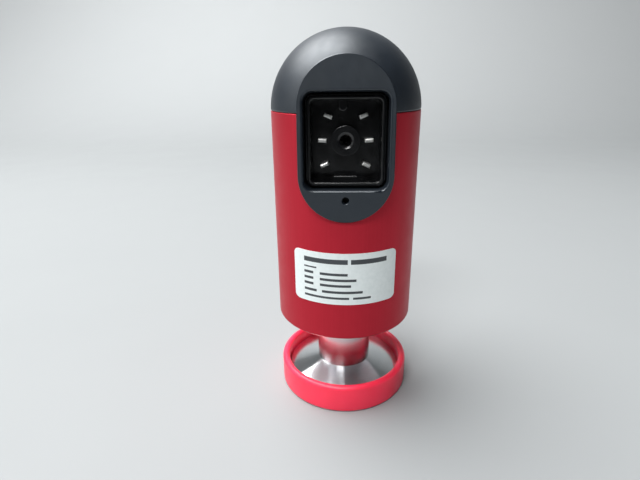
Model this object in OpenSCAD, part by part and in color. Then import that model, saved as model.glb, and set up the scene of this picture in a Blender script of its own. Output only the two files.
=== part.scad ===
// Active vacuum gauge: a sensor on a small flange, a round housing and a head with a connector face.
// The axis is Z, the origin is the centre of the dust cap's foot, and the connector face looks to -Y.

/* [Cap and flange] */
// Thickness of the dust cap's floor
cap_floor = 1.5; // [1:0.1:2.5]
// Thickness of the dust cap's wall
cap_wall = 1.9; // [1.4:0.1:2.5]
// Height of the dust cap
cap_h = 7.4; // [6.5:0.1:9]
// Radius of the cap's foot edge
cap_foot_r = 0.7; // [0.3:0.1:1]
// Gap between the flange's rim and the cap, on each side
cap_clear = 0.2; // [0.1:0.05:0.4]
// Diameter of the vacuum flange
flange_d = 30; // [28:0.5:32]
// Thickness of the flange at its rim
flange_rim = 3; // [2:0.1:4]
// Slope of the flange's clamping cone, in degrees
flange_cone = 15; // [12:1:18]
// Edge break of the flange's rim
flange_edge = 0.25; // [0.1:0.05:0.5]
// Diameter of the centring recess in the flange's face
recess_d = 17.2; // [16.8:0.1:18]
// Depth of the centring recess
recess_depth = 2.6; // [1.5:0.1:3]
// Diameter of the neck
neck_d = 14.2; // [13.6:0.1:15]
// Bore of the neck
neck_bore = 11; // [10:0.1:11.4]

/* [Housing] */
// Diameter of the housing tube
housing_d = 34.5; // [33.5:0.5:36]
// Wall of the housing tube
housing_wall = 1.5; // [1.2:0.1:2]
// Floor of the housing tube
housing_floor = 1.5; // [1.2:0.1:2.5]
// Length of the housing tube
housing_len = 51.2; // [49:0.1:58]
// Edge break of the housing's lower edge
housing_edge = 0.3; // [0.1:0.1:0.8]
// Height of the housing's underside over the flange's face
housing_lift = 20.1; // [18:0.1:26]
// Wall of the rounded head
dome_wall = 2; // [1.6:0.1:2.4]
// Depth of the head's spigot in the tube
spigot_len = 5; // [3:0.5:7]
// Wall of the spigot
spigot_wall = 1.4; // [1:0.1:1.8]

/* [Connector face] */
// Lean of the connector face, in degrees
face_tilt = 5; // [4:0.5:6]
// Width of the connector face
face_w = 20; // [19.8:0.1:21]
// Length of the connector face along its slope
face_len = 33.5; // [33:0.1:34.5]
// Height of the seam over the lower tip of the face
face_drop = 22; // [21:0.1:23]
// How far the lower tip stands out of the tube
face_proud = 0.75; // [0.5:0.05:1.2]
// Thickness of the face
face_plate = 2; // [1.5:0.1:2.5]
// Wall of the tongue behind the face
tongue_wall = 1.2; // [1:0.1:1.4]
// Diameter of the pinhole over the adjust button
pinhole_d = 1.45; // [1.1:0.05:1.8]
// Height of the pinhole over the lower tip, along the face
pinhole_v = 4.7; // [4.4:0.1:4.8]

/* [Socket] */
// Width of the socket's opening
socket_w = 17.5; // [17:0.1:17.6]
// Face under the socket's opening
socket_below = 6.9; // [6.7:0.1:7.1]
// Face over the socket's opening
socket_above = 7; // [6.8:0.1:7.4]
// Corner radius of the socket's opening
socket_r = 2; // [1.6:0.1:2.4]
// Depth of the step round the collar
step_depth = 4; // [3.2:0.1:4.6]
// Depth of the collar's rim
rim_depth = 2.3; // [1.8:0.1:2.8]
// Step between the opening and the collar, on each side
collar_step = 0.7; // [0.5:0.05:0.9]
// Wall of the collar
collar_wall = 0.7; // [0.5:0.05:0.9]
// Depth of the socket's floor
socket_depth = 9; // [8:0.2:10]
// Thickness of the socket's floor
socket_floor = 2; // [1.6:0.1:2.6]
// Diameter of the centre post
post_d = 6.4; // [5.8:0.1:6.6]
// Depth of the post's front and of the contacts' tips
post_depth = 5.5; // [5:0.1:6]
// Depth of the bush's front in the post
bush_sink = 0.1; // [0.05:0.05:0.3]
// Diameter of the bush in the post
bush_d = 3.8; // [3.6:0.1:4.2]
// Core diameter of the bush's thread
bush_bore = 2.5; // [2:0.1:2.8]
// Thickness of the bush's closed end
bush_end = 0.8; // [0.5:0.1:1]
// Depth of the chamfer at the bush's mouth
bush_mouth = 0.4; // [0.2:0.05:0.45]
// Width of a contact
blade_w = 1.8; // [1.5:0.1:2.3]
// Thickness of a contact
blade_t = 0.75; // [0.6:0.05:1]
// Slant of a contact's tip, on each side
blade_tip = 0.22; // [0.1:0.02:0.26]
// Length of a contact past the board
blade_tail = 0.8; // [0.4:0.1:1.5]
// Width of the key tab
key_w = 2; // [1.5:0.1:2.3]
// Length of the key tab
key_len = 2.3; // [2:0.1:2.6]
// Offset of the key tab from the middle
key_u = -0.6; // [-1:0.1:0]
// Width of the coding step at its base
coding_w = 6.2; // [5.4:0.1:7]
// Width of the coding step at its top
coding_top_w = 4.6; // [4:0.1:5.2]
// Height of the coding step
coding_h = 1.05; // [0.8:0.05:1.4]

/* [Sensor cell] */
// Height of the sensor tube's top over the housing's underside
cell_top = 11.1; // [10:0.1:12]
// Thickness of the insulating disc
header_t = 1.5; // [1.2:0.1:2.2]
// Diameter of the insulating disc
header_d = 12; // [11.6:0.1:12.6]
// Diameter of the sensor's pins
pin_d = 0.8; // [0.6:0.05:1]
// Distance of the pins from the axis
pin_ring = 2.6; // [2.2:0.1:3.2]
// Turn of the pins about the axis, clear of the main board, in degrees
pin_turn = 45; // [40:1:50]
// Length of the pins over the disc
pin_up = 6.4; // [6:0.1:7.5]
// Length of the reference pins under the disc
pin_down = 2.5; // [1.5:0.1:4]
// Diameter of the filament
filament_d = 0.3; // [0.2:0.05:0.5]
// Length of the filament between its arms
filament_len = 17; // [12:0.5:19]
// Height of the ring's thick part
ring_h = 7; // [6:0.2:8]
// Wall of the ring's skirt
skirt_wall = 1.5; // [1.2:0.1:2]
// Diameter of the set screw
set_screw_d = 3; // [2.5:0.5:4]
// Depth of the set screw's end under the tube's skin
set_screw_sink = 2.6; // [2:0.1:4]
// Width across flats of the set screw's socket
set_screw_hex = 1.5; // [1.3:0.1:2]
// Depth of the set screw's groove in the neck
groove_depth = 0.5; // [0.3:0.1:0.8]

/* [Boards] */
// Thickness of the boards
board_t = 1.6; // [1:0.1:2]
// Height of the sensor board over the top of the sensor tube
sensor_board_gap = 3; // [2.6:0.1:3.4]
// Diameter of the pin sockets
pin_socket_d = 1.8; // [1.6:0.1:2.2]
// Length of the pin sockets on each side of the sensor board
pin_socket_end = 0.9; // [0.5:0.1:1.2]
// Border between the face's outline and the connector board
connector_board_inset = 1.7; // [1.5:0.1:2.2]
// Diameter of the board screws
screw_d = 1.6; // [1.4:0.1:2]
// Length of the board screws in the head
screw_len = 6; // [4:0.5:7]
// Head diameter of the board screws
screw_head_d = 3.4; // [3:0.1:3.6]
// Head height of the board screws
screw_head_h = 1.3; // [1:0.1:1.8]
// Diameter of the bosses for the screws
boss_d = 3.8; // [3.6:0.1:4]
// Offset of the bosses from the middle
boss_u = 5.2; // [5:0.1:5.4]
// Distance of the bosses from the tips of the face
boss_v = 4.2; // [4.1:0.1:4.3]
// Pitch of the link pins
link_pitch = 2.54; // [2:0.27:2.54]
// Number of link pins
link_count = 6; // [4:1:6]
// Width of a link pin
link_pin = 0.64; // [0.5:0.02:0.7]
// Length of the link pins on the main board
link_tail = 4; // [3:0.5:5]
// Gap between the main board and the head's spigot
board_edge_gap = 0.6; // [0.4:0.1:1.2]
// Diameter of the capacitors
capacitor_d = 6.3; // [5:0.1:7]
// Height of the capacitors
capacitor_h = 5.8; // [5:0.1:7]

/* [Adjust button] */
// Width of the button's body
button_w = 4.4; // [4:0.1:5]
// Height of the button's body along the face
button_v = 3.2; // [3:0.1:3.4]
// Wall of the button's body
button_wall = 0.5; // [0.4:0.05:0.6]
// Diameter of the plunger
plunger_d = 1.8; // [1.6:0.1:2]
// Diameter of the plunger's foot
plunger_foot_d = 2.4; // [2.2:0.1:2.6]
// Thickness of the plunger's foot
plunger_foot_h = 0.6; // [0.4:0.1:0.8]
// Travel of the plunger
plunger_travel = 0.25; // [0.15:0.05:0.4]
// Gap between the plunger's tip and the face
plunger_gap = 0.6; // [0.4:0.1:1]

/* [Label] */
// Width of the label, seen from the front
label_w = 23.2; // [20:0.2:25]
// Height of the label
label_h = 12.6; // [10:0.2:14]
// Corner radius of the label
label_r = 1.2; // [0.6:0.1:2]
// Height of the label's lower edge over the housing's underside
label_lift = 9.2; // [6:0.1:12]
// Thickness of the label
label_t = 0.1; // [0.05:0.01:0.2]

/* [Fits] */
// Gap of pieces that are pressed, glued or soldered together, on each side
fit_gap = 0.03; // [0.02:0.01:0.05]
// Gap of pieces that slide together, on each side
slide_gap = 0.08; // [0.05:0.01:0.12]

/* [Hidden] */
$fn = 96;

// Cut margin, so that a cutter passes the surface that it cuts
past = 1;

// Levels along the axis
seat_z = cap_floor;
cone_z = seat_z + flange_rim + (flange_d - neck_d) / 2 * tan(flange_cone);
housing_z = seat_z + housing_lift;
floor_z = housing_z + housing_floor;
seam_z = housing_z + housing_len;
cell_z = housing_z + cell_top;
header_z = cell_z - header_t;
sensor_board_z = cell_z + sensor_board_gap;
main_board_z = sensor_board_z + board_t;
screw_z = floor_z + ring_h / 2;

// Radii about the axis
cap_bore_r = flange_d / 2 + cap_clear;
cap_r = cap_bore_r + cap_wall;
housing_r = housing_d / 2;
tube_r = housing_r - housing_wall;
spigot_r = tube_r - slide_gap;
spigot_bore_r = spigot_r - spigot_wall;
neck_r = neck_d / 2;
groove_r = neck_r - groove_depth;

// The connector face: its lower tip and the depths behind it
foot_y = -(housing_r + face_proud);
foot_z = seam_z - face_drop;
face_reach = 13;
shell_lap = 0.4;
insert_back = socket_depth + socket_floor;
bush_back = insert_back - slide_gap;
button_front = socket_depth + slide_gap;
board_back = insert_back + board_t;
link_h = link_pitch;
main_front = board_back + link_h;

// Sizes of the socket's opening, collar and cavity, and the opening's middle
socket_h = face_len - socket_below - socket_above;
socket_v = socket_below + socket_h / 2;
collar_size = [socket_w - 2 * collar_step, socket_h - 2 * collar_step];
cavity_size = [collar_size[0] - 2 * collar_wall, collar_size[1] - 2 * collar_wall];
collar_r = socket_r - collar_step;
cavity_r = collar_r - collar_wall / 2;

// Contacts on the right side: place from the socket's centre and turn, mirrored to the left
blade_rows = [[3.8, 5.15, 22], [5.05, 0.05, 4], [4.55, -5.15, -24]];
// Shallow marks in the lower corners of the socket's floor: place from the cavity's corner, width, depth
mark_inset = 1.2;
mark_d = 0.8;
mark_depth = 0.4;

// Chips on the main board: place from the board's lower back corner, width, height, thickness
chip_list = [[7, 6, 6.5, 6, 2.2], [6, 16, 7, 7, 1], [6, 26, 5, 4, 1.5]];
// Heights of the capacitors over the board's lower edge, and their distance from its back edge
capacitor_rise = [6, 14];
capacitor_in = 6;

// Y of the plane that lies a given depth behind the connector face, at height z
function face_y(z, depth) = foot_y + (z - foot_z) * tan(face_tilt) + depth / cos(face_tilt);

// Places a child on the connector face: X to the right, Y up the face, Z out of it
module on_face() {
    translate([0, foot_y, foot_z]) rotate([90 - face_tilt, 0, 0]) children();
}

// Extrudes a flat child of the connector face from one depth to a greater one
module between(front, back) {
    on_face() translate([0, 0, -back]) linear_extrude(back - front) children();
}

// Outline with round ends, the face's own or set in from it
module stadium(inset = 0) {
    r = face_w / 2 - inset;
    for (v = [face_w / 2, face_len - face_w / 2]) translate([0, v]) circle(r);
    translate([-r, face_w / 2]) square([2 * r, face_len - face_w]);
}

// Rectangle with round corners about the origin
module rounded_rect(size, r) {
    for (x = [-1, 1], y = [-1, 1])
        translate([x * (size[0] / 2 - r), y * (size[1] / 2 - r)]) circle(r);
    square([size[0] - 2 * r, size[1]], center = true);
    square([size[0], size[1] - 2 * r], center = true);
}

// Rectangle of the socket, grown or shrunk on every side
module socket_rect(grow = 0) {
    translate([0, socket_v])
        rounded_rect([socket_w + 2 * grow, socket_h + 2 * grow], socket_r + grow);
}

// Places a child at each contact
module at_blades() {
    translate([0, socket_v]) for (side = [0, 1], row = blade_rows)
        mirror([side, 0]) translate([row[0], row[1]]) rotate(row[2]) children();
}

// Contact sections, grown on every side for their slots
module blade_sections(grow = 0) {
    at_blades() square([blade_w + 2 * grow, blade_t + 2 * grow], center = true);
}

// Places a child at each boss of the connector face
module at_bosses() {
    for (u = [-boss_u, boss_u], v = [boss_v, face_len - boss_v]) translate([u, v]) children();
}

// Link pin sections beside the main board
module link_sections(grow = 0) {
    translate([-(board_t + link_pin) / 2, socket_v]) for (i = [0 : link_count - 1])
        translate([0, (i - (link_count - 1) / 2) * link_pitch])
            square(link_pin + 2 * grow, center = true);
}

// Places a child at each pin of the sensor
module at_pins() {
    for (a = [0 : 90 : 270]) rotate(pin_turn + a) translate([pin_ring, 0]) children();
}

// Soft push-on cap: a cup with a round rim and foot
module flange_cap() {
    rim_z = cap_h - cap_wall / 2;
    color("#c8283c") rotate_extrude() {
        square([cap_r - cap_foot_r, cap_floor]);
        translate([cap_r - cap_foot_r, cap_foot_r]) circle(cap_foot_r);
        translate([cap_bore_r, cap_foot_r]) square([cap_wall, rim_z - cap_foot_r]);
        translate([cap_bore_r + cap_wall / 2, rim_z]) circle(cap_wall / 2);
    }
}

// Flange, cone, neck and sensor tube in one turned piece
module sensor_flange() {
    flange_r = flange_d / 2;
    color("#c9ccd0") difference() {
        rotate_extrude() polygon([
            [neck_bore / 2, seat_z + recess_depth],
            [recess_d / 2, seat_z + recess_depth],
            [recess_d / 2, seat_z],
            [flange_r - flange_edge, seat_z],
            [flange_r, seat_z + flange_edge],
            [flange_r, seat_z + flange_rim - flange_edge],
            [flange_r - flange_edge, seat_z + flange_rim + flange_edge * tan(flange_cone)],
            [neck_r, cone_z],
            [neck_r, cell_z],
            [header_d / 2 + fit_gap, cell_z],
            [header_d / 2 + fit_gap, header_z],
            [neck_bore / 2, header_z]
        ]);
        translate([0, 0, screw_z - set_screw_d / 2 - slide_gap])
            rotate_extrude() translate([groove_r, 0]) square([neck_r, set_screw_d + 2 * slide_gap]);
    }
}

// Insulating disc with holes for the pins
module sensor_header() {
    color("#e4dfd0") translate([0, 0, header_z]) difference() {
        cylinder(d = header_d, h = header_t);
        at_pins() translate([0, 0, -past]) cylinder(d = pin_d + 2 * fit_gap, h = header_t + 2 * past);
    }
}

// Four pins: the first carries the filament's top, the third reaches down to its foot
module header_pins() {
    top_z = cell_z + pin_up;
    arm_z = header_z - pin_down;
    foot_arm_z = arm_z - filament_len - pin_d;
    drops = [arm_z, arm_z, foot_arm_z, arm_z];
    color("#b9a678") {
        for (i = [0 : 3]) rotate(pin_turn + 90 * i) translate([pin_ring, 0, drops[i] - pin_d])
            cylinder(d = pin_d, h = top_z - drops[i] + pin_d);
        for (i = [0, 2]) rotate(pin_turn + 90 * i) translate([-pin_d / 2, -pin_d / 4, drops[i] - pin_d])
            cube([pin_ring + pin_d / 2, pin_d / 2, pin_d]);
    }
}

// Heated wire between the two arms, thicker than the real one
module filament() {
    arm_z = header_z - pin_down - pin_d;
    color("#8d9096") translate([0, 0, arm_z - filament_len]) cylinder(d = filament_d, h = filament_len);
}

// Ring round the sensor tube, with a skirt that carries the sensor board
module mounting_ring() {
    ring_r = tube_r - fit_gap;
    color("#a9adb2") difference() {
        translate([0, 0, floor_z]) rotate_extrude() {
            translate([neck_r + fit_gap, 0]) square([ring_r - neck_r - fit_gap, ring_h]);
            translate([ring_r - skirt_wall, 0]) square([skirt_wall, sensor_board_z - floor_z]);
        }
        set_screw_hole(slide_gap);
    }
}

// Radial hole for the set screw, on the side away from the connector
module set_screw_hole(gap) {
    translate([0, 0, screw_z]) rotate([-90, 0, 0]) cylinder(d = set_screw_d + 2 * gap, h = housing_r + past);
}

// Set screw with a hexagon socket and a blunt point
module set_screw() {
    point = set_screw_d / 5;
    length = housing_r - set_screw_sink - groove_r - fit_gap;
    color("#4a4c50") translate([0, groove_r + fit_gap, screw_z]) rotate([-90, 0, 0]) difference() {
        union() {
            cylinder(d1 = set_screw_d - 2 * point, d2 = set_screw_d, h = point);
            translate([0, 0, point]) cylinder(d = set_screw_d, h = length - point);
        }
        translate([0, 0, length - set_screw_d / 2])
            cylinder(d = set_screw_hex / cos(30), h = set_screw_d, $fn = 6);
    }
}

// Red tube with a floor, cut open for the head's tongue
module housing_tube() {
    color("#9c2c34") difference() {
        rotate_extrude() polygon([
            [neck_r + slide_gap, housing_z],
            [housing_r - housing_edge, housing_z],
            [housing_r, housing_z + housing_edge],
            [housing_r, seam_z],
            [tube_r, seam_z],
            [tube_r, floor_z],
            [neck_r + slide_gap, floor_z]
        ]);
        between(-face_reach, face_reach) stadium(-slide_gap);
        set_screw_hole(slide_gap);
    }
}

// Rounded shell of the head with its spigot, as one revolved section
module dome_shell() {
    translate([0, 0, seam_z]) rotate_extrude() {
        intersection() {
            difference() {
                circle(housing_r);
                circle(housing_r - dome_wall);
            }
            square(housing_r + past);
        }
        translate([spigot_bore_r, -spigot_len]) square([spigot_wall, spigot_len + dome_wall]);
    }
}

// Hollows behind the face, above and below the socket
module face_pockets() {
    band = socket_h + 2 * tongue_wall;
    difference() {
        stadium(tongue_wall);
        translate([-face_w / 2, socket_v - band / 2]) square([face_w, band]);
    }
}

// Face with the walls behind it, which pass through the tube's cut-out
module tongue() {
    difference() {
        union() {
            difference() {
                between(0, socket_depth) stadium();
                between(face_plate, socket_depth + past) face_pockets();
            }
            between(face_plate / 2, insert_back) at_bosses() circle(d = boss_d);
        }
        between(-past, insert_back + past) socket_rect();
        between(-past, face_plate + past) translate([0, pinhole_v]) circle(d = pinhole_d);
        between(board_back - screw_len - past, insert_back + past)
            at_bosses() circle(d = screw_d + 2 * fit_gap);
    }
}

// Moulded head: rounded shell with the tilted connector face
module dome_cap() {
    color("#34373c") {
        difference() {
            dome_shell();
            between(-face_reach, face_reach) stadium(shell_lap);
        }
        tongue();
    }
}

// Socket insert: body, collar, post, key and coding step round the contacts
module connector_insert() {
    cavity_top = cavity_size[1] / 2;
    color("#17181b") difference() {
        union() {
            difference() {
                union() {
                    between(step_depth, insert_back) socket_rect(-slide_gap);
                    between(rim_depth, step_depth + past)
                        translate([0, socket_v]) rounded_rect(collar_size, collar_r);
                }
                between(0, socket_depth) translate([0, socket_v]) rounded_rect(cavity_size, cavity_r);
            }
            between(post_depth, insert_back) translate([0, socket_v]) circle(d = post_d);
            between(post_depth, insert_back) translate([key_u, socket_v + cavity_top - key_len]) {
                translate([0, key_w / 2]) circle(d = key_w);
                translate([-key_w / 2, key_w / 2]) square([key_w, key_len - key_w / 2 + collar_wall / 2]);
            }
            between(post_depth, insert_back) translate([0, socket_v - cavity_top]) polygon([
                [-coding_w / 2, -collar_wall / 2], [coding_w / 2, -collar_wall / 2],
                [coding_w / 2, 0], [coding_top_w / 2, coding_h],
                [-coding_top_w / 2, coding_h], [-coding_w / 2, 0]
            ]);
        }
        between(0, insert_back + past) blade_sections(fit_gap);
        between(0, insert_back + past) translate([0, socket_v]) circle(d = bush_d + 2 * fit_gap);
        between(socket_depth - past, socket_depth + mark_depth) translate([0, socket_v])
            for (side = [-1, 1])
                translate([side * (cavity_size[0] / 2 - mark_inset), mark_inset - cavity_top])
                    circle(d = mark_d);
    }
}

// Six flat contacts with slanted tips, which pass through the floor and the board
module contact_blades() {
    half = blade_t / 2;
    back = board_back + blade_tail;
    color("#d6d8da") on_face() at_blades() rotate([90, 0, 90]) translate([0, 0, -blade_w / 2])
        linear_extrude(blade_w) polygon([
            [-half, -back], [half, -back],
            [half, -post_depth - blade_tip], [half - blade_tip, -post_depth],
            [blade_tip - half, -post_depth], [-half, -post_depth - blade_tip]
        ]);
}

// Threaded bush in the post, chamfered at its mouth and closed at its back
module post_bush() {
    front = post_depth + bush_sink;
    mouth_d = bush_bore + 2 * bush_mouth;
    color("#b9bcc0") difference() {
        between(front, bush_back) translate([0, socket_v]) circle(d = bush_d);
        between(front - past, bush_back - bush_end) translate([0, socket_v]) circle(d = bush_bore);
        on_face() translate([0, socket_v, -front - bush_mouth])
            cylinder(d1 = bush_bore, d2 = mouth_d + 2 * past, h = bush_mouth + past);
    }
}

// Board behind the socket, parallel to the face
module connector_board() {
    color("#2d5c3a") between(insert_back, board_back) difference() {
        stadium(connector_board_inset);
        blade_sections(fit_gap);
        link_sections(fit_gap);
        at_bosses() circle(d = screw_d + 2 * slide_gap);
    }
}

// Four screws from the board into the head's bosses
module board_screws() {
    color("#8f9296") {
        between(board_back - screw_len, board_back + screw_head_h / 2) at_bosses() circle(d = screw_d);
        between(board_back, board_back + screw_head_h) at_bosses() circle(d = screw_head_d);
    }
}

// Plastic strip that spaces the two boards
module link_header() {
    color("#1c1d20") between(board_back, main_front) difference() {
        translate([-(board_t + link_pin) / 2, socket_v])
            square([link_h, link_count * link_pitch], center = true);
        link_sections(fit_gap);
    }
}

// Link pins, from the connector board on to the side of the main board
module link_pins() {
    color("#c9a94f") between(insert_back, main_front + link_tail) link_sections();
}

// Electronics board, upright across the housing
module main_board() {
    back_y = spigot_bore_r - board_edge_gap;
    front_y = -(spigot_bore_r - board_edge_gap);
    top_z = seam_z - board_edge_gap;
    notch_z = foot_z - socket_depth * sin(face_tilt) - board_edge_gap;
    color("#2d5c3a") translate([-board_t / 2, 0, 0]) rotate([90, 0, 90]) linear_extrude(board_t) polygon([
        [front_y, main_board_z],
        [back_y, main_board_z],
        [back_y, top_z],
        [face_y(top_z, main_front), top_z],
        [face_y(notch_z, main_front), notch_z],
        [front_y, notch_z]
    ]);
}

// Integrated circuits on the right side of the main board
module chips() {
    back_y = spigot_bore_r - board_edge_gap;
    color("#202124") for (chip = chip_list)
        translate([board_t / 2, back_y - chip[0] - chip[2] / 2, main_board_z + chip[1]])
            cube([chip[4], chip[2], chip[3]]);
}

// Capacitors on the left side of the main board
module capacitors() {
    back_y = spigot_bore_r - board_edge_gap;
    color("#9aa0a8") for (rise = capacitor_rise)
        translate([-board_t / 2, back_y - capacitor_in, main_board_z + rise])
            rotate([0, -90, 0]) cylinder(d = capacitor_d, h = capacitor_h);
}

// Round board over the sensor, on the ring's skirt
module sensor_board() {
    color("#2d5c3a") translate([0, 0, sensor_board_z]) difference() {
        cylinder(r = tube_r - slide_gap - fit_gap, h = board_t);
        at_pins() translate([0, 0, -past]) cylinder(d = pin_socket_d + 2 * fit_gap, h = board_t + 2 * past);
    }
}

// Sleeves in the sensor board that take the sensor's pins
module pin_sockets() {
    color("#c9a94f") translate([0, 0, sensor_board_z - pin_socket_end]) at_pins() difference() {
        cylinder(d = pin_socket_d, h = board_t + 2 * pin_socket_end);
        translate([0, 0, -past]) cylinder(d = pin_d + 2 * fit_gap, h = board_t + 2 * (pin_socket_end + past));
    }
}

// Body of the adjust button, hollow for the plunger's foot
module adjust_switch() {
    hollow = plunger_foot_h + plunger_travel + 2 * slide_gap;
    color("#2a2b2e") difference() {
        between(button_front, insert_back)
            translate([0, pinhole_v]) square([button_w, button_v], center = true);
        between(button_front - past, button_front + button_wall + hollow / 2)
            translate([0, pinhole_v]) circle(d = plunger_d + 2 * slide_gap);
        between(button_front + button_wall, button_front + button_wall + hollow)
            translate([0, pinhole_v]) circle(d = plunger_foot_d + 2 * slide_gap);
    }
}

// Plunger of the adjust button, under the pinhole
module adjust_plunger() {
    foot = button_front + button_wall + slide_gap;
    color("#202124") {
        between(face_plate + plunger_gap, foot + plunger_foot_h)
            translate([0, pinhole_v]) circle(d = plunger_d);
        between(foot, foot + plunger_foot_h) translate([0, pinhole_v]) circle(d = plunger_foot_d);
    }
}

// Label wrapped round the front of the tube
module name_label() {
    middle_z = housing_z + label_lift + label_h / 2;
    color("#e6ebea") intersection() {
        difference() {
            translate([0, 0, housing_z]) cylinder(r = housing_r + label_t, h = housing_len);
            translate([0, 0, housing_z - past]) cylinder(r = housing_r, h = housing_len + 2 * past);
        }
        translate([0, 0, middle_z]) rotate([90, 0, 0])
            linear_extrude(housing_d) rounded_rect([label_w, label_h], label_r);
    }
}

flange_cap();
sensor_flange();
sensor_header();
header_pins();
filament();
mounting_ring();
set_screw();
housing_tube();
dome_cap();
connector_insert();
contact_blades();
post_bush();
connector_board();
board_screws();
link_header();
link_pins();
main_board();
chips();
capacitors();
sensor_board();
pin_sockets();
adjust_switch();
adjust_plunger();
name_label();
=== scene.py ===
# %% [markdown]
# # A vacuum gauge, dressed in Blender
# The gauge measures how good a vacuum is. A small heated wire sits in a steel flange at its foot, a red
# tube holds the electronics, and a grey plastic head carries the socket for the cable. A soft red cap keeps
# dust out of the flange. The solids come from the CAD model; this lesson gives them their edges, finishes,
# light and camera. Lengths on the gauge are written in millimetres, and MM turns them into Blender's
# metres.

# %% Load the CAD model
import math

import bmesh
import bpy
from mathutils import Matrix, Vector


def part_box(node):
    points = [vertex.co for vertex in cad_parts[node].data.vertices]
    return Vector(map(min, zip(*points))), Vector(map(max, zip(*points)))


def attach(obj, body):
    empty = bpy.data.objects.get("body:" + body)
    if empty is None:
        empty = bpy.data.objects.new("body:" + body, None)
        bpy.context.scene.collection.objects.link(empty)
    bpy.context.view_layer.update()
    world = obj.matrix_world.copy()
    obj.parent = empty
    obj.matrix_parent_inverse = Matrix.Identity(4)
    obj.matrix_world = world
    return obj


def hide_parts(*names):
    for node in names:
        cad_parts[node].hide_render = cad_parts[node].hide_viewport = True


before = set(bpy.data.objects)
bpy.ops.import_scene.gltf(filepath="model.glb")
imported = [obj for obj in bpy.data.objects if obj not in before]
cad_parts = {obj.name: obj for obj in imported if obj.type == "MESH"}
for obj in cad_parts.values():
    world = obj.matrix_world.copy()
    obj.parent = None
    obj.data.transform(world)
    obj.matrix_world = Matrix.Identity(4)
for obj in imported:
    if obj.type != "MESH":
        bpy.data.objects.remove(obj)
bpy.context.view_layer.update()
MM = 0.001
print("pieces from the CAD model:", len(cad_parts))

# %% [markdown]
# ## The camera
# The photo was taken from close by with a wide lens, so the tube grows narrower towards its foot. A camera
# could be aimed by eye, but here its place and angles were found by fitting the gauge's known outline to
# the picture, which comes within about a pixel. Its three axes are worked out from those angles, so that
# the small roll of a hand-held camera can be seen in the code.

# %% Camera
EYE = Vector((-1.14, -107.04, 80.07)) * MM
PITCH, YAW, ROLL = (math.radians(angle) for angle in (20.392, -2.765, 0.754))
FOCAL_PIXELS = 441.57
IMAGE_WIDTH = 640
SENSOR_WIDTH = 36.0
CLIP_START = 5 * MM

forward = Vector((math.sin(YAW) * math.cos(PITCH), math.cos(YAW) * math.cos(PITCH), -math.sin(PITCH)))
level_right = Vector((math.cos(YAW), -math.sin(YAW), 0))
level_down = forward.cross(level_right)
right = math.cos(ROLL) * level_right + math.sin(ROLL) * level_down
down = math.cos(ROLL) * level_down - math.sin(ROLL) * level_right

camera = bpy.data.objects.new("camera", bpy.data.cameras.new("camera"))
bpy.context.scene.collection.objects.link(camera)
camera.matrix_world = Matrix.Translation(EYE) @ Matrix((right, -down, -forward)).transposed().to_4x4()
camera.data.sensor_width = SENSOR_WIDTH
camera.data.lens = FOCAL_PIXELS / IMAGE_WIDTH * SENSOR_WIDTH
camera.data.clip_start = CLIP_START
bpy.context.scene.camera = camera
bpy.context.scene.view_settings.view_transform = "Standard"
print("lens:", round(camera.data.lens, 2), "mm")

# %% [markdown]
# ## Light
# The highlight on the head is broad and lies to the left, the lower edges of the socket glint, and the tube
# fades from bright at the left to dark at the right. One lamp can't do all that, so there are three: a
# large soft one high at the left, a wide and shallow one high in front, and a weak one low at the left.
# Their power is kept at a plain level, where a colour looks as it was written.

# %% Lamps
LAMP_TARGET = Vector((0, 0, 0.05))


def add_lamp(name, place, size, power):
    """An oval soft lamp that looks at the gauge, with its place and size in metres."""
    lamp = bpy.data.lights.new(name, "AREA")
    lamp.shape = "ELLIPSE"
    lamp.size, lamp.size_y = size
    lamp.energy = power
    holder = bpy.data.objects.new(name, lamp)
    bpy.context.scene.collection.objects.link(holder)
    aim = LAMP_TARGET - Vector(place)
    holder.matrix_world = Matrix.Translation(place) @ aim.to_track_quat("-Z", "Y").to_matrix().to_4x4()


add_lamp("high_lamp", place=(-0.36, 0.16, 0.92), size=(0.9, 0.9), power=22.0)
add_lamp("front_lamp", place=(-0.24, -0.74, 0.92), size=(0.55, 0.20), power=10.0)
add_lamp("left_lamp", place=(-1.00, -0.30, 0.45), size=(0.7, 0.7), power=1.6)
print("lamps:", len(bpy.data.lights))

# %% [markdown]
# ## Finishes
# Every finish is built from a few shader nodes. They could be drawn by hand in the node editor, but small
# helpers keep each finish down to a few lines: they add a node, feed its sockets and hand its result on.


# %% Helpers for nodes
def feed(tree, node, inputs):
    """Sets inputs of a node, and links those that come from another node."""
    for name, value in inputs.items():
        if isinstance(value, bpy.types.NodeSocket):
            tree.links.new(value, node.inputs[name])
        else:
            node.inputs[name].default_value = value


def add_node(tree, kind, inputs=None, **settings):
    node = tree.nodes.new(kind)
    for name, value in settings.items():
        setattr(node, name, value)
    feed(tree, node, inputs or {})
    return node


def maths(tree, operation, first, second=0.0):
    return add_node(tree, "ShaderNodeMath", {0: first, 1: second}, operation=operation).outputs[0]


def vector(tree, x=0.0, y=0.0, z=0.0):
    return add_node(tree, "ShaderNodeCombineXYZ", {0: x, 1: y, 2: z}).outputs[0]


def parts_of(tree, place):
    """The x, y and z of a vector."""
    return add_node(tree, "ShaderNodeSeparateXYZ", {0: place}).outputs


def eased(tree, value, start, end, low=0.0, high=1.0):
    """A soft change from low to high while the value goes from start to end."""
    sockets = {"Value": value, "From Min": start, "From Max": end, "To Min": low, "To Max": high}
    return add_node(tree, "ShaderNodeMapRange", sockets, interpolation_type="SMOOTHSTEP").outputs[0]


print("helpers for nodes ready")

# %% [markdown]
# The helpers serve the surroundings first. Lamps alone would leave bright metal black between them, and an
# even world would make it flat. So the room is bright at the left and fades to dark at the right. Little
# light comes from the front, which keeps the deep socket black.

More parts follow.
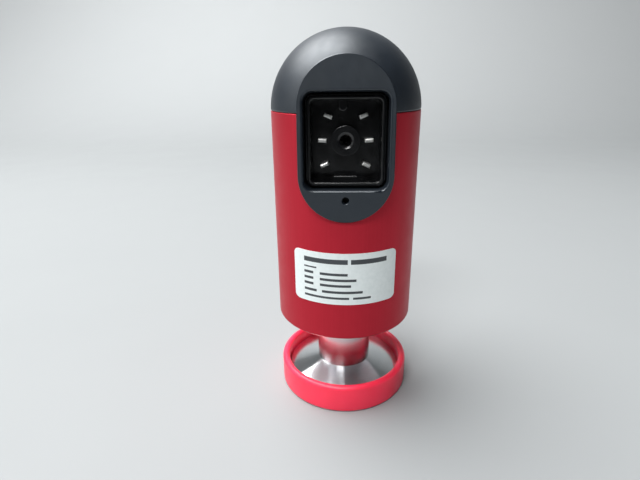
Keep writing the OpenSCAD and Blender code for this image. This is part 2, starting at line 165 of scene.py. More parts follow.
# %% Surroundings that fade from left to right
LEFT_LIGHT, RIGHT_LIGHT = 0.45, 0.05
FRONT_SHARE = 0.12
# Where the fade starts and ends, by the sideways part of a direction
FADE_ACROSS = (-0.9, 0.5)
# Where the shade in front is deepest and where it ends, by the backward part of a direction
FRONT_SHADE = (-0.97, -0.6)
ROOM_COLOUR = (0.93, 0.97, 1.0, 1)

world = bpy.data.worlds.new("room")
bpy.context.scene.world = world
world.use_nodes = True
room = world.node_tree
heading = parts_of(room, add_node(room, "ShaderNodeTexCoord").outputs["Generated"])
sideways = eased(room, heading[0], *FADE_ACROSS, LEFT_LIGHT, RIGHT_LIGHT)
from_front = eased(room, heading[1], *FRONT_SHADE, FRONT_SHARE)
strength = maths(room, "MULTIPLY", sideways, from_front)
feed(room, room.nodes["Background"], {"Color": ROOM_COLOUR, "Strength": strength})
print("light of the room:", LEFT_LIGHT, "to", RIGHT_LIGHT)

# %% [markdown]
# Most pieces are moulded, cast or plated, and differ in colour, gloss and grain. One flat colour would look
# like a toy, so each finish is made from noise: a slow one shifts the colour a little, a finer one varies
# the roughness, and the finest raises the surface. Object coordinates carry real metres, so a grain of a
# fifth of a millimetre is written as just that.

# %% Helpers for finishes
NOISE_LOW, NOISE_HIGH = 0.3, 0.7
# Numbers of the Mix node's colour sockets, because their names repeat
MIX_FACTOR, MIX_FIRST, MIX_SECOND, MIX_RESULT = 0, 6, 7, 2


def srgb(red, green, blue):
    """A colour as a picture shows it, in the linear numbers that the shader wants."""
    parts = [c / 255 for c in (red, green, blue)]
    return [c / 12.92 if c <= 0.04045 else ((c + 0.055) / 1.055) ** 2.4 for c in parts] + [1.0]


def new_finish(name):
    """An empty material: its tree, its shader and the place of each point in metres."""
    material = bpy.data.materials.new(name)
    material.use_nodes = True
    tree = material.node_tree
    place = add_node(tree, "ShaderNodeTexCoord").outputs["Object"]
    return material, tree, tree.nodes["Principled BSDF"], place


def grain(tree, place, size, detail=2.0):
    """Noise with lumps of about the given size in metres."""
    sockets = {"Vector": place, "Scale": 1 / size, "Detail": detail}
    return add_node(tree, "ShaderNodeTexNoise", sockets).outputs[0]


def spread(tree, noise, low=0.0, high=1.0):
    """Maps the middle of a noise, where most of its values lie, to a range."""
    sockets = {"Value": noise, "From Min": NOISE_LOW, "From Max": NOISE_HIGH, "To Min": low, "To Max": high}
    return add_node(tree, "ShaderNodeMapRange", sockets).outputs[0]


def blend_colours(tree, factor, first, second):
    sockets = {MIX_FACTOR: factor, MIX_FIRST: first, MIX_SECOND: second}
    return add_node(tree, "ShaderNodeMix", sockets, data_type="RGBA").outputs[MIX_RESULT]


def relief(tree, height, depth):
    """A normal that leans as if the surface had this height."""
    return add_node(tree, "ShaderNodeBump", {"Height": height, "Distance": depth}).outputs[0]


print("helpers for finishes ready")

# %% A finish with a grain
PATCH = 6 * MM


def grained(name, colours, roughness, grain_size, depth, patch=PATCH, extra=None):
    """A finish between two colours, with a range of roughness. extra holds more inputs of the shader."""
    material, tree, shader, place = new_finish(name)
    feed(tree, shader, {
        "Base Color": blend_colours(tree, spread(tree, grain(tree, place, patch)), *colours),
        "Roughness": spread(tree, grain(tree, place, patch / 3), *roughness),
        "Normal": relief(tree, grain(tree, place, grain_size), depth),
        **(extra or {})})
    return material


print("a patch of colour is", round(PATCH / MM), "mm wide, unless a finish says otherwise")

# %% Plastics
# The head's dark grey has a painted blue cast, both in its colours and in the Specular Tint of its
# reflections. The cast stands in for bluish light around the gauge.
HEAD_COLOURS_PAINTED_BLUE_CAST = srgb(12, 21, 31), srgb(10, 18, 27)
HEAD_GLOSS_PAINTED_BLUE_TINT = {"Specular IOR Level": 0.8, "Specular Tint": (0.90, 0.96, 1.0, 1.0)}
HEAD_GREY = grained(
    "head_grey_plastic", HEAD_COLOURS_PAINTED_BLUE_CAST, (0.46, 0.52),
    grain_size=0.22 * MM, depth=0.004 * MM, extra=HEAD_GLOSS_PAINTED_BLUE_TINT)
HEAD_EDGE = grained(
    "head_grey_smooth_edge", HEAD_COLOURS_PAINTED_BLUE_CAST, (0.30, 0.34),
    grain_size=0.22 * MM, depth=0.002 * MM, extra=HEAD_GLOSS_PAINTED_BLUE_TINT)
SOCKET_BLACK = grained(
    "socket_black_plastic", (srgb(10, 11, 13), srgb(8, 9, 11)), (0.20, 0.26),
    grain_size=0.3 * MM, depth=0.003 * MM, extra={"Specular IOR Level": 0.65})
CAP_RED = grained(
    "cap_red_soft_plastic", (srgb(255, 52, 84), srgb(250, 46, 78)), (0.34, 0.44),
    grain_size=0.6 * MM, depth=0.006 * MM, patch=8 * MM,
    extra={"Subsurface Weight": 0.35, "Subsurface Scale": 3 * MM})
print("plastics:", HEAD_GREY.name, HEAD_EDGE.name, SOCKET_BLACK.name, CAP_RED.name)

# %% Plain metals
METAL = {"Metallic": 1.0}
CONTACT_TIN = grained(
    "contact_tin", (srgb(232, 232, 228), srgb(216, 217, 215)), (0.34, 0.44),
    grain_size=0.2 * MM, depth=0.003 * MM, patch=2 * MM, extra=METAL)
# The bush is nickel painted darker than bright nickel, so that its bore shows dark: painted shade in the
# hole.
BUSH_NICKEL_PAINTED_SHADE = grained(
    "bush_nickel", (srgb(136, 136, 134), srgb(118, 118, 117)), (0.26, 0.36),
    grain_size=0.2 * MM, depth=0.003 * MM, patch=2 * MM, extra=METAL)
PIN_GOLD = grained(
    "pin_gold", (srgb(224, 186, 98), srgb(208, 170, 84)), (0.2, 0.3),
    grain_size=0.2 * MM, depth=0.002 * MM, patch=2 * MM, extra=METAL)
SCREW_STEEL = grained(
    "screw_steel", (srgb(168, 170, 174), srgb(150, 152, 156)), (0.26, 0.36),
    grain_size=0.3 * MM, depth=0.004 * MM, patch=2 * MM, extra=METAL)
RING_ALUMINIUM = grained(
    "ring_aluminium", (srgb(200, 203, 206), srgb(188, 191, 195)), (0.3, 0.4),
    grain_size=0.3 * MM, depth=0.005 * MM, extra=METAL)
FILAMENT_WIRE = grained(
    "filament_wire", (srgb(150, 152, 158), srgb(128, 130, 137)), (0.3, 0.45),
    grain_size=0.1 * MM, depth=0.002 * MM, patch=1 * MM, extra=METAL)
print("plain metals:", CONTACT_TIN.name, BUSH_NICKEL_PAINTED_SHADE.name, PIN_GOLD.name)
print("and:", SCREW_STEEL.name, RING_ALUMINIUM.name, FILAMENT_WIRE.name)

# %% Boards, chips and ceramic
BOARD_GREEN = grained(
    "board_green", (srgb(28, 92, 52), srgb(38, 108, 62)), (0.3, 0.42),
    grain_size=0.4 * MM, depth=0.008 * MM, patch=2.5 * MM)
CHIP_BLACK = grained(
    "chip_black", (srgb(34, 35, 38), srgb(28, 29, 32)), (0.45, 0.6),
    grain_size=0.15 * MM, depth=0.008 * MM, patch=3 * MM)
DISC_CERAMIC = grained(
    "disc_ceramic", (srgb(232, 226, 210), srgb(222, 215, 198)), (0.4, 0.5),
    grain_size=0.4 * MM, depth=0.006 * MM, patch=3 * MM)
print("inner finishes:", BOARD_GREEN.name, CHIP_BLACK.name, DISC_CERAMIC.name)

# %% [markdown]
# The tube is extruded aluminium, blasted and dyed red. A dyed oxide layer is clear and hard over bright
# metal. It could be a clear coat over red metal, but that gives two highlights, and the tube shows one
# broad one. So the shader is mostly metallic, with a soft gloss. Faint lines run along the tube from
# drawing it through the die.

# %% Anodised red
RED_COLOURS = srgb(184, 38, 54), srgb(180, 37, 52)
RED_ROUGHNESS = (0.40, 0.46)
DRAWN_LINE = 0.4 * MM
LINE_STRETCH = (1.0, 1.0, 0.02)
LINE_SHARE = 0.2
BLASTED_GRAIN = 0.12 * MM
BLASTED_DEPTH = 0.003 * MM
RED_PATCH = 3 * MM


def anodised_red():
    material, tree, shader, place = new_finish("tube_red_anodised")
    stretched = add_node(tree, "ShaderNodeMapping", {"Vector": place, "Scale": LINE_STRETCH}).outputs[0]
    lines = grain(tree, stretched, DRAWN_LINE)
    blasted = grain(tree, place, BLASTED_GRAIN)
    height = maths(tree, "ADD", maths(tree, "MULTIPLY", lines, LINE_SHARE), blasted)
    feed(tree, shader, {
        "Base Color": blend_colours(tree, spread(tree, lines), *RED_COLOURS),
        "Roughness": spread(tree, grain(tree, place, RED_PATCH), *RED_ROUGHNESS),
        "Normal": relief(tree, height, BLASTED_DEPTH),
        "Metallic": 0.6, "Specular IOR Level": 0.25})
    return material


TUBE_RED = anodised_red()
print("made", TUBE_RED.name)

# %% [markdown]
# The flange and neck are turned from steel. The tool leaves fine rings round the axis, which stretch each
# highlight across them. Real grooves would take far too many faces, so the shader's anisotropy does the
# stretching. Its noise is looked up by distance from the axis and by height only, so it is the same all the
# way round. The same recipe serves the underside of the tube, which is faced after dyeing.

# %% Turned metal
FINE_RING, COARSE_RING = 0.12 * MM, 1.1 * MM
RING_DEPTH = 0.0001 * MM


def turned_metal(name, colours, roughness):
    material, tree, shader, place = new_finish(name)
    x, y, height = parts_of(tree, place)
    outwards = vector(tree, x, y)
    radius = add_node(tree, "ShaderNodeVectorMath", {0: outwards}, operation="LENGTH").outputs["Value"]
    rings = vector(tree, radius, 0.0, height)
    coarse = grain(tree, rings, COARSE_RING, detail=1.0)
    feed(tree, shader, {
        "Base Color": blend_colours(tree, spread(tree, coarse), *colours),
        "Roughness": spread(tree, coarse, *roughness),
        "Normal": relief(tree, grain(tree, rings, FINE_RING), RING_DEPTH),
        "Tangent": add_node(tree, "ShaderNodeTangent", direction_type="RADIAL", axis="Z").outputs[0],
        "Metallic": 1.0, "Anisotropic": 0.98, "Anisotropic Rotation": 0.25})
    return material


STEEL = turned_metal("turned_steel", (srgb(226, 227, 228), srgb(218, 220, 222)), (0.12, 0.16))
BARE_ALUMINIUM = turned_metal("turned_aluminium", (srgb(222, 224, 227), srgb(212, 214, 218)), (0.34, 0.40))
print("made", STEEL.name, "and", BARE_ALUMINIUM.name)

# %% [markdown]
# ## Soft edges
# No real edge is perfectly sharp: a moulded edge has a small radius that catches the light as a thin bright
# line. A shader can fake that, but an exported mesh loses it, so the radius is made of faces. A CAD mesh is
# loose triangles, so a copy first has its doubles merged and its flat faces joined. Then a Bevel modifier
# rounds only the edges that a small test on their place picks.

# %% A clean copy of a CAD mesh
FLAT_ANGLE = math.radians(0.4)
SMOOTH_ANGLE = math.radians(28)
SAME_POINT = 0.001 * MM


def merged_copy(node, extra):
    """A new mesh and the clean shape of a CAD node for it, with an extra mesh beside it."""
    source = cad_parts[node].data
    mesh = bpy.data.meshes.new(node + "_look")
    mesh.from_pydata([v.co for v in source.vertices], [], [p.vertices for p in source.polygons])
    shape = bmesh.new()
    shape.from_mesh(mesh)
    bmesh.ops.remove_doubles(shape, verts=shape.verts, dist=SAME_POINT)
    bmesh.ops.dissolve_limit(shape, angle_limit=FLAT_ANGLE, verts=shape.verts, edges=shape.edges)
    if extra:
        shape.from_mesh(extra)
    return mesh, shape


print("edges count as sharp over", round(math.degrees(SMOOTH_ANGLE)), "degrees")

# %% Chosen edges rounded
ROUNDING_SEGMENTS = 3


def weigh_edges(shape, picks):
    """Gives sharp outer edges their share of the rounding, and counts those that have one."""
    share = shape.edges.layers.float.new("bevel_weight_edge")
    rounded = 0
    for edge in shape.edges:
        if edge.is_manifold and edge.is_convex and edge.calc_face_angle() > SMOOTH_ANGLE:
            edge[share] = picks(edge.verts[0].co / MM, edge.verts[1].co / MM)
            rounded += edge[share] > 0
    return rounded


def round_off(piece, width, edge_finish):
    """Rounds the weighted edges, in a finish of their own where one is given."""
    bevel = piece.modifiers.new("soft_edges", "BEVEL")
    bevel.limit_method = "WEIGHT"
    bevel.width = width * MM
    bevel.segments = ROUNDING_SEGMENTS
    bevel.use_clamp_overlap = False
    bevel.harden_normals = True
    if edge_finish:
        piece.data.materials.append(edge_finish)
        bevel.material = len(piece.data.materials) - 1


def softened(node, finish, picks=None, width=0.0, extra=None, edge_finish=None):
    """A dressed copy of a CAD node. picks(a, b) gives an edge's share of the width from its ends in mm."""
    mesh, shape = merged_copy(node, extra)
    rounded = weigh_edges(shape, picks) if picks else 0
    shape.to_mesh(mesh)
    shape.free()
    mesh.shade_smooth()
    mesh.set_sharp_from_angle(angle=SMOOTH_ANGLE)
    mesh.materials.append(finish)
    piece = bpy.data.objects.new(node + "_look", mesh)
    bpy.context.scene.collection.objects.link(piece)
    if rounded:
        round_off(piece, width, edge_finish)
    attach(piece, "gauge")
    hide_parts(node)
    print(node, "edges rounded:", rounded)
    return piece


print("a rounded edge has", ROUNDING_SEGMENTS, "segments")

# %% [markdown]
# ## The head
# The grey head is moulded in one piece: a rounded shell, and a face with round ends that leans back by five
# degrees. Its edges could all be rounded alike, but the real radii differ: that of the socket's opening is
# the largest, and the pinhole, the face's rim and the lower edge of the shell have smaller ones. Points of
# the face are easiest to find in its own directions: across, up along the face, and depth behind it. The
# rounded edges take a smoother finish, because they glint where the flat faces stay dull.

# %% Places on the connector face
FACE_TILT = math.radians(5)
# Lowest point of the connector face in mm
FACE_FOOT = Vector((0, -18.0, 50.8))
TUBE_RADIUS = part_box("housing_tube")[1][0] / MM
# Places that differ by less than this, in mm, count as one
NEAR = 0.03


def on_face(point):
    """Place of a point on the connector face in mm: across, up the face, depth behind it."""
    way = point - FACE_FOOT
    up = way.y * math.sin(FACE_TILT) + way.z * math.cos(FACE_TILT)
    depth = way.y * math.cos(FACE_TILT) - way.z * math.sin(FACE_TILT)
    return Vector((way.x, up, depth))


def from_axis(point):
    return math.hypot(point.x, point.y)


def on_skin(a, b):
    """Whether an edge lies on the outer skin of the tube and the head, or further out."""
    return min(from_axis(a), from_axis(b)) > TUBE_RADIUS - NEAR


print("radius of the tube:", round(TUBE_RADIUS, 2), "mm")

# %% Grey head
SEAM_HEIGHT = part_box("housing_tube")[1][2] / MM
PINHOLE_MIDDLE = Vector((0, 4.7))
PINHOLE_RADIUS = 0.725
OPENING_SIDE = 8.8
OPENING_LOW, OPENING_HIGH = 6.8, 26.6
HEAD_ROUNDING = 0.5
PINHOLE_SHARE, RIM_SHARE, SEAM_SHARE = 0.4, 0.35, 0.8


def head_edges(a, b):
    """Full rounding at the opening, less at the pinhole, the face's rim and the shell's lower edge."""
    first, second = on_face(a), on_face(b)
    if abs(first.z) < NEAR and abs(second.z) < NEAR:
        if (first.xy - PINHOLE_MIDDLE).length < PINHOLE_RADIUS + NEAR:
            return PINHOLE_SHARE
        in_opening = abs(first.x) < OPENING_SIDE and OPENING_LOW < first.y < OPENING_HIGH
        return 1.0 if in_opening else RIM_SHARE
    at_seam = abs(a.z - SEAM_HEIGHT) < NEAR and abs(b.z - SEAM_HEIGHT) < NEAR
    return SEAM_SHARE if at_seam and on_skin(a, b) else 0.0


head = softened("dome_cap", HEAD_GREY, head_edges, HEAD_ROUNDING, edge_finish=HEAD_EDGE)

# %% [markdown]
# ## The red tube
# The tube's cut-out and its top edge are milled, then deburred before it is dyed. Rounding every edge would
# only add faces inside, where nobody looks, so just the edges on the outer skin get a small radius.

# %% Red tube
TUBE_ROUNDING = 0.22


def tube_edges(a, b):
    return 1.0 if on_skin(a, b) else 0.0


tube = softened("housing_tube", TUBE_RED, tube_edges, TUBE_ROUNDING)

# %% [markdown]
# The flange's cone mirrors the tube's underside, and that mirror image is white and grey, not red. So the
# underside is bare metal, faced on a lathe after dyeing. It could be a thin piece of its own, but a second
# material on those faces keeps the tube whole.

# %% Bare underside of the tube
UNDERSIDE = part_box("housing_tube")[0][2]
DOWNWARDS = -0.9

tube.data.materials.append(BARE_ALUMINIUM)
bare = [
    face for face in tube.data.polygons
    if face.normal.z < DOWNWARDS and face.center.z < UNDERSIDE + NEAR * MM]
for face in bare:
    face.material_index = len(tube.data.materials) - 1
print("faces of bare metal:", len(bare))

# %% [markdown]
# ## Steel and cap
# The flange keeps its turned edges from the CAD, and the soft plastic cap its rounded rim. Both could be
# spun anew from a section, but their shapes are right already: they only need smooth shading and their
# finishes.

# %% Flange and cap
flange = softened("sensor_flange", STEEL)
cap = softened("flange_cap", CAP_RED)

# %% [markdown]
# ## The socket
# A black insert sits deep in the opening, with a collar, a post in the middle, a key and a coding step. The
# post's front closes over its bush and leaves a countersunk hole. A cut with a Boolean could make that, but
# a small ring is cleaner: a section is spun round the post's axis and joins the insert's mesh. Edges that
# look outwards are rounded a little, and the light draws the collar's rim as a thin line.

# %% Front of the post
SOCKET_UP = 16.7
POST_DEPTH = 5.5
POST_HOLE = 1.93
POST_FRONT_END = 6.38
SCREW_HOLE = 1.25
COUNTERSINK = 1.75
COUNTERSINK_END = 5.78
POST_FRONT_SECTION = [
    # distance from the post's axis, depth behind the face in mm, closed
    (POST_HOLE, POST_DEPTH), (POST_HOLE, POST_FRONT_END), (SCREW_HOLE, POST_FRONT_END),
    (SCREW_HOLE, COUNTERSINK_END), (COUNTERSINK, POST_DEPTH), (POST_HOLE, POST_DEPTH),
]
SPIN_STEPS = 64
FACE_FRAME = Matrix.Translation(FACE_FOOT * MM) @ Matrix.Rotation(math.radians(90) - FACE_TILT, 4, "X")
POST_FRAME = FACE_FRAME @ Matrix.Translation((0, SOCKET_UP * MM, 0))


def spun(name, section):
    """A section turned all the way round the Z axis."""
    shape = bmesh.new()
    points = [shape.verts.new((radius * MM, 0, -depth * MM)) for radius, depth in section]
    sides = [shape.edges.new(pair) for pair in zip(points, points[1:])]
    bmesh.ops.spin(
        shape, geom=points + sides, axis=(0, 0, 1), cent=(0, 0, 0), angle=math.tau, steps=SPIN_STEPS)
    bmesh.ops.remove_doubles(shape, verts=shape.verts, dist=SAME_POINT)
    bmesh.ops.recalc_face_normals(shape, faces=shape.faces)
    mesh = bpy.data.meshes.new(name)
    shape.to_mesh(mesh)
    shape.free()
    return mesh


post_front = spun("post_front", POST_FRONT_SECTION)
post_front.transform(POST_FRAME)
print("faces of the post's front:", len(post_front.polygons))

# %% Socket insert
CAVITY_DEPTH = 9.0
POST_MIDDLE = Vector((0, SOCKET_UP))
# Edges within this distance of the post's axis belong to the post
POST_REACH = 4.0
# Edges lower on the face than this belong to the coding step
STEP_TOP = 9.4
SOCKET_ROUNDING = 0.3
POST_SHARE = 0.4


def socket_edges(a, b):
    """Full rounding on the collar, the key and the coding step's top, less on the post, none elsewhere."""
    first, second = on_face(a), on_face(b)
    level = abs(first.z - second.z) < NEAR
    if not level or first.z > CAVITY_DEPTH - NEAR:
        return 0.0
    if first.z < POST_DEPTH - NEAR:
        return 1.0
    from_post = (first.xy - POST_MIDDLE).length
    on_slant = first.y < STEP_TOP and abs(first.y - second.y) > NEAR
    if on_slant or abs(from_post - POST_HOLE) < NEAR:
        return 0.0
    return POST_SHARE if from_post < POST_REACH else 1.0


socket = softened("connector_insert", SOCKET_BLACK, socket_edges, SOCKET_ROUNDING, extra=post_front)

# %% [markdown]
# ## The contacts
# Six flat contacts stand in the socket, each turned a little towards the post. They could be six meshes,
# but one contact that is copied to six points is a task for Geometry Nodes: the points carry their own
# turn, so a change to the one contact changes all six. The tip is a block's front face that is pulled out
# and then drawn in, which leaves the slants of a stamped tip.


# %% Helpers for shape trees
def new_shape_tree(name, sizes):
    """A Geometry Nodes tree with named sizes: the tree, its inputs and its output node."""
    tree = bpy.data.node_groups.new(name, "GeometryNodeTree")
    tree.interface.new_socket("Geometry", in_out="INPUT", socket_type="NodeSocketGeometry")
    for size in sizes:
        tree.interface.new_socket(size, in_out="INPUT", socket_type="NodeSocketFloat")
    tree.interface.new_socket("Finish", in_out="INPUT", socket_type="NodeSocketMaterial")
    tree.interface.new_socket("Geometry", in_out="OUTPUT", socket_type="NodeSocketGeometry")
    return tree, tree.nodes.new("NodeGroupInput").outputs, tree.nodes.new("NodeGroupOutput")


def end_shape_tree(tree, shape, inputs, output):
    """Real faces with their finish at the end of a tree."""
    real = add_node(tree, "GeometryNodeRealizeInstances", {"Geometry": shape}).outputs[0]
    sockets = {"Geometry": real, "Material": inputs["Finish"]}
    dressed = add_node(tree, "GeometryNodeSetMaterial", sockets).outputs[0]
    feed(tree, output, {"Geometry": dressed})


def baked(name, mesh, tree, values):
    """Runs a tree on a mesh with these values and keeps the plain mesh that comes out."""
    piece = bpy.data.objects.new(name, mesh)
    bpy.context.scene.collection.objects.link(piece)
    shaping = piece.modifiers.new("shape", "NODES")
    shaping.node_group = tree
    for socket in tree.interface.items_tree:
        if socket.in_out == "INPUT" and socket.name in values:
            shaping[socket.identifier] = values[socket.name]
    seen = piece.evaluated_get(bpy.context.evaluated_depsgraph_get())
    piece.data = bpy.data.meshes.new_from_object(seen)
    piece.modifiers.remove(shaping)
    print(name, "faces:", len(piece.data.polygons))
    return piece


print("helpers for shape trees ready")

# %% One contact
CONTACT_SIZES = {
    "Width": 1.8 * MM, "Thickness": 0.75 * MM, "Length": 7.9 * MM, "Lead": 0.13 * MM, "Slant": 0.2 * MM,
}
FACING_FRONT = 0.5


def contact_block(tree, sizes):
    """A contact without its tip, which ends one lead behind the point that it stands on."""
    length = maths(tree, "SUBTRACT", sizes["Length"], sizes["Lead"])
    block_size = vector(tree, sizes["Width"], sizes["Thickness"], length)
    block = add_node(tree, "GeometryNodeMeshCube", {"Size": block_size}).outputs[0]
    middle = maths(tree, "MULTIPLY", maths(tree, "ADD", sizes["Length"], sizes["Lead"]), -0.5)
    sockets = {"Geometry": block, "Translation": vector(tree, z=middle)}
    return add_node(tree, "GeometryNodeTransform", sockets).outputs[0]


def contact_tip(tree, sizes, block):
    """The block with its front face pulled out by the lead and drawn in by the slant."""
    facing = parts_of(tree, tree.nodes.new("GeometryNodeInputNormal").outputs[0])
    sockets = {0: facing[2], 1: FACING_FRONT}
    is_front = add_node(tree, "FunctionNodeCompare", sockets, operation="GREATER_THAN").outputs[0]
    sockets = {"Mesh": block, "Selection": is_front, "Offset Scale": sizes["Lead"]}
    pulled = add_node(tree, "GeometryNodeExtrudeMesh", sockets).outputs
    spot = tree.nodes.new("GeometryNodeInputPosition").outputs[0]
    side = add_node(tree, "ShaderNodeVectorMath", {0: spot}, operation="SIGN").outputs[0]
    inwards = maths(tree, "MULTIPLY", sizes["Slant"], -1.0)
    sockets = {0: side, 1: vector(tree, inwards, inwards)}
    drawn_in = add_node(tree, "ShaderNodeVectorMath", sockets, operation="MULTIPLY").outputs[0]
    sockets = {"Geometry": pulled["Mesh"], "Selection": pulled["Top"], "Offset": drawn_in}
    return add_node(tree, "GeometryNodeSetPosition", sockets).outputs[0]


print("sizes of a contact:", ", ".join(CONTACT_SIZES))

# %% Six contacts
TIP_DEPTH = 5.5
CONTACT_ROWS = [
    # across, up from the socket's middle in mm, turn in degrees
    (3.8, 5.15, 22), (5.05, 0.05, 4), (4.55, -5.15, -24),
]


def contact_tree():
    """A contact on every point of a mesh, turned by that point's own turn."""
    tree, sizes, output = new_shape_tree("contacts", CONTACT_SIZES)
    contact = contact_tip(tree, sizes, contact_block(tree, sizes))
    turn = add_node(tree, "GeometryNodeInputNamedAttribute", {"Name": "turn"}, data_type="FLOAT").outputs[0]
    rotation = add_node(tree, "FunctionNodeEulerToRotation", {0: vector(tree, z=turn)}).outputs[0]
    sockets = {"Points": sizes["Geometry"], "Instance": contact, "Rotation": rotation}
    copies = add_node(tree, "GeometryNodeInstanceOnPoints", sockets).outputs[0]
    end_shape_tree(tree, copies, sizes, output)
    return tree


spots = [(side * across, up, side * turn) for side in (1, -1) for across, up, turn in CONTACT_ROWS]
contact_spots = bpy.data.meshes.new("contact_spots")
contact_spots.from_pydata([Vector((x, SOCKET_UP + y, -TIP_DEPTH)) * MM for x, y, turn in spots], [], [])
turns = contact_spots.attributes.new("turn", "FLOAT", "POINT")
for point, (x, y, turn) in zip(turns.data, spots):
    point.value = math.radians(turn)
contacts = baked(
    "contact_blades_look", contact_spots, contact_tree(), {**CONTACT_SIZES, "Finish": CONTACT_TIN})
contacts.data.transform(FACE_FRAME)
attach(contacts, "gauge")
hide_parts("contact_blades")

# %% [markdown]
# ## The threaded bush
# The plug's screw goes into a metal bush behind the post's front. Its body is one half section, spun round
# its axis: mouth, bore and the cone that the drill leaves. The thread could be drawn as bump, but the
# exported mesh would lose it. It follows a spiral, so nodes make it: a small diamond is swept along the
# spiral and joined to the body.

# %% Thread along a spiral
BORE = 1.5
THREAD_SIZES = {
    "Radius": BORE * MM, "Pitch": 0.5 * MM, "Turns": 5.8,
    "Depth": (BORE - SCREW_HOLE) * MM, "Start": -9.5 * MM,
}
POINTS_PER_TURN = 32
DIAMOND_CORNERS = 4


def thread_tree():
    tree, sizes, output = new_shape_tree("bush_thread", THREAD_SIZES)
    height = maths(tree, "MULTIPLY", sizes["Pitch"], sizes["Turns"])
    spiral = add_node(tree, "GeometryNodeCurveSpiral", {
        "Resolution": POINTS_PER_TURN, "Rotations": sizes["Turns"], "Height": height,
        "Start Radius": sizes["Radius"], "End Radius": sizes["Radius"]}).outputs[0]
    upright = add_node(tree, "GeometryNodeSetCurveNormal", {"Curve": spiral}, mode="Z_UP").outputs[0]
    sockets = {"Resolution": DIAMOND_CORNERS, "Radius": sizes["Depth"]}
    diamond = add_node(tree, "GeometryNodeCurvePrimitiveCircle", sockets).outputs[0]
    sockets = {"Curve": upright, "Profile Curve": diamond, "Fill Caps": True}
    ridge = add_node(tree, "GeometryNodeCurveToMesh", sockets).outputs[0]
    sockets = {"Geometry": ridge, "Translation": vector(tree, z=sizes["Start"])}
    sunk = add_node(tree, "GeometryNodeTransform", sockets).outputs[0]
    joined = tree.nodes.new("GeometryNodeJoinGeometry")
    for part in (sizes["Geometry"], sunk):
        tree.links.new(part, joined.inputs[0])
    end_shape_tree(tree, joined.outputs[0], sizes, output)
    return tree


print("sizes of the thread:", ", ".join(THREAD_SIZES))

# %% Bush with its thread
BUSH_RADIUS = 1.9
BUSH_FRONT, BUSH_BACK = 6.4, 10.92
MOUTH = 0.15
BORE_END = 9.6
CORE_END = 9.9
DRILL_POINT = 10.65
BUSH_SECTION = [
    # distance from the axis, depth behind the face in mm
    (0, BUSH_BACK), (BUSH_RADIUS, BUSH_BACK), (BUSH_RADIUS, BUSH_FRONT), (BORE + MOUTH, BUSH_FRONT),
    (BORE, BUSH_FRONT + MOUTH), (BORE, BORE_END), (SCREW_HOLE, BORE_END), (SCREW_HOLE, CORE_END),
    (0, DRILL_POINT),
]

bush = baked(
    "post_bush_look", spun("bush_body", BUSH_SECTION), thread_tree(), {**THREAD_SIZES, "Finish": BUSH_NICKEL_PAINTED_SHADE})
bush.data.transform(POST_FRAME)
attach(bush, "gauge")
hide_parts("post_bush")

# %% [markdown]
# ## The label
# The label is a thin white sticker that follows the tube, with rows of plain dark bars. Bars of their own
# faces would have to be bent round the tube one by one. A finish that asks each point whether it lies
# inside a bar stays sharp at any distance. A UV map in millimetres runs round the curve, so the bars keep
# their width there.

# %% Finish with plain bars
BARS = [
    # middle across, middle up, width, height in mm
    (-4.6, 4.3, 10.4, 1.15), (5.6, 4.3, 8.6, 1.15),
    (-8.2, 2.5, 3.2, 0.36),
    (-8.6, 1.2, 2.4, 0.62), (-2.6, 1.2, 6.4, 0.62),
    (-8.6, -0.2, 2.4, 0.62), (-1.6, -0.2, 8.4, 0.62),
    (-8.6, -1.6, 2.4, 0.62), (-2.2, -1.6, 7.2, 0.62),
    (-8.2, -3.2, 3.2, 0.62), (-0.6, -3.2, 9.4, 0.62),
    (-4.4, -4.7, 10.8, 0.55), (4.0, -4.7, 4.2, 0.55),
]
LABEL_COLOURS = srgb(224, 231, 231), srgb(217, 225, 225)
LABEL_ROUGHNESS = (0.34, 0.42)
BAR_COLOUR = srgb(58, 62, 66)
FIBRE, FIBRE_DEPTH = 0.8 * MM, 0.004 * MM


def in_bar(tree, spot, across, up, width, height):
    """One inside an upright rectangle, nought outside it."""
    sides = maths(tree, "ABSOLUTE", maths(tree, "SUBTRACT", spot[0], across))
    ends = maths(tree, "ABSOLUTE", maths(tree, "SUBTRACT", spot[1], up))
    in_sides = maths(tree, "LESS_THAN", sides, width / 2)
    return maths(tree, "MULTIPLY", in_sides, maths(tree, "LESS_THAN", ends, height / 2))


def barred_label():
    material, tree, shader, place = new_finish("label_printed")
    spot = parts_of(tree, add_node(tree, "ShaderNodeUVMap", uv_map="wrapped").outputs[0])
    ink = 0.0
    for bar in BARS:
        ink = maths(tree, "MAXIMUM", in_bar(tree, spot, *bar), ink)
    fibre = grain(tree, place, FIBRE)
    white = blend_colours(tree, spread(tree, fibre), *LABEL_COLOURS)
    feed(tree, shader, {
        "Base Color": blend_colours(tree, ink, white, BAR_COLOUR),
        "Roughness": spread(tree, fibre, *LABEL_ROUGHNESS),
        "Normal": relief(tree, fibre, FIBRE_DEPTH)})
    return material


print("bars on the label:", len(BARS))

# %% Label
label = softened("name_label", barred_label())
label_radius = max(from_axis(point.co) for point in label.data.vertices) / MM
label_middle = sum(corner[2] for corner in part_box("name_label")) / 2 / MM
wrapped = label.data.uv_layers.new(name="wrapped")
for loop in label.data.loops:
    spot = label.data.vertices[loop.vertex_index].co / MM
    wrapped.data[loop.index].uv = (label_radius * math.atan2(spot.x, -spot.y), spot.z - label_middle)
print("radius of the label:", round(label_radius, 2), "mm, middle at", round(label_middle, 2), "mm")

# %% [markdown]
# ## Pieces that keep their CAD mesh
# Boards, chips, screws and the sensor sit inside the gauge. Copies of them could be softened too, but their
# shapes are right already and hardly show, so each takes its finish on its own CAD mesh.

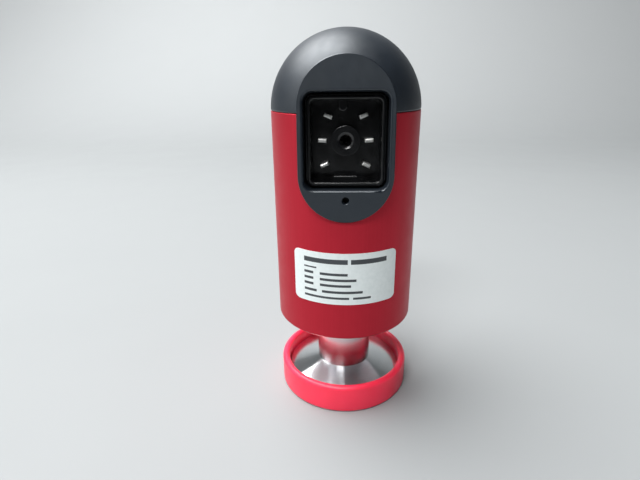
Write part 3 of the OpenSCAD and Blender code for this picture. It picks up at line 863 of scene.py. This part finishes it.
# %% Finishes on the CAD pieces
INNER_FINISHES = [
    (BOARD_GREEN, ["connector_board", "main_board", "sensor_board"]),
    (SCREW_STEEL, ["board_screws", "set_screw"]),
    # The switch's plunger behind the pinhole takes the chips' black, so that the pinhole shows dark: painted
    # shade.
    (CHIP_BLACK, ["link_header", "chips", "adjust_switch", "adjust_plunger"]),
    (PIN_GOLD, ["link_pins", "pin_sockets", "header_pins"]),
    (RING_ALUMINIUM, ["capacitors", "mounting_ring"]),
    (DISC_CERAMIC, ["sensor_header"]),
    (FILAMENT_WIRE, ["filament"]),
]

for finish, nodes in INNER_FINISHES:
    for node in nodes:
        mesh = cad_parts[node].data
        mesh.materials.clear()
        mesh.materials.append(finish)
    print(finish.name, "on", ", ".join(nodes))

# %% [markdown]
# ## Floor
# The gauge stands on plain pale paper. A flat plane would end in a line behind the gauge, so the paper
# turns up into a backdrop far behind it. Its colour is painted lighter at the back, where less light falls
# on it: painted light. Sizes are in metres.

# %% Floor and backdrop
FLOOR_FRONT = -1.6
FLOOR_SIDE = 3.2
BACK_START, BACK_RADIUS, BACK_TOP = 0.45, 0.5, 2.0
BACK_END = BACK_START + BACK_RADIUS
BEND_STEPS = 16
# The far colour is painted lighter than the near one, to make up for the light that falls off towards the
# back: painted light.
PAPER_NEAR, PAPER_FAR_PAINTED_LIGHTER = srgb(140, 143, 144), srgb(172, 175, 176)
PAINTED_LIGHTER_FROM = 0.3
PAPER_ROUGHNESS = (0.7, 0.8)
PAPER_PATCH = 0.05
PAPER_GRAIN, PAPER_DEPTH = 0.002, 0.00001


def pale_paper():
    material, tree, shader, place = new_finish("floor_pale")
    far = eased(tree, parts_of(tree, place)[1], PAINTED_LIGHTER_FROM, BACK_END)
    feed(tree, shader, {
        "Base Color": blend_colours(tree, far, PAPER_NEAR, PAPER_FAR_PAINTED_LIGHTER),
        "Roughness": spread(tree, grain(tree, place, PAPER_PATCH), *PAPER_ROUGHNESS),
        "Normal": relief(tree, grain(tree, place, PAPER_GRAIN), PAPER_DEPTH)})
    return material


def pale_floor():
    bend = [math.radians(90 * i / BEND_STEPS) for i in range(BEND_STEPS + 1)]
    side = [(FLOOR_FRONT, 0.0)]
    side += [(BACK_START + BACK_RADIUS * math.sin(a), BACK_RADIUS * (1 - math.cos(a))) for a in bend]
    side += [(BACK_END, BACK_TOP)]
    points = [(x, y, z) for x in (-FLOOR_SIDE, FLOOR_SIDE) for y, z in side]
    count = len(side)
    faces = [(i, i + count, i + count + 1, i + 1) for i in range(count - 1)]
    mesh = bpy.data.meshes.new("floor")
    mesh.from_pydata(points, [], faces)
    mesh.shade_smooth()
    mesh.materials.append(pale_paper())
    floor = bpy.data.objects.new("floor", mesh)
    bpy.context.scene.collection.objects.link(floor)
    return floor


pale_floor()
print("floor made")
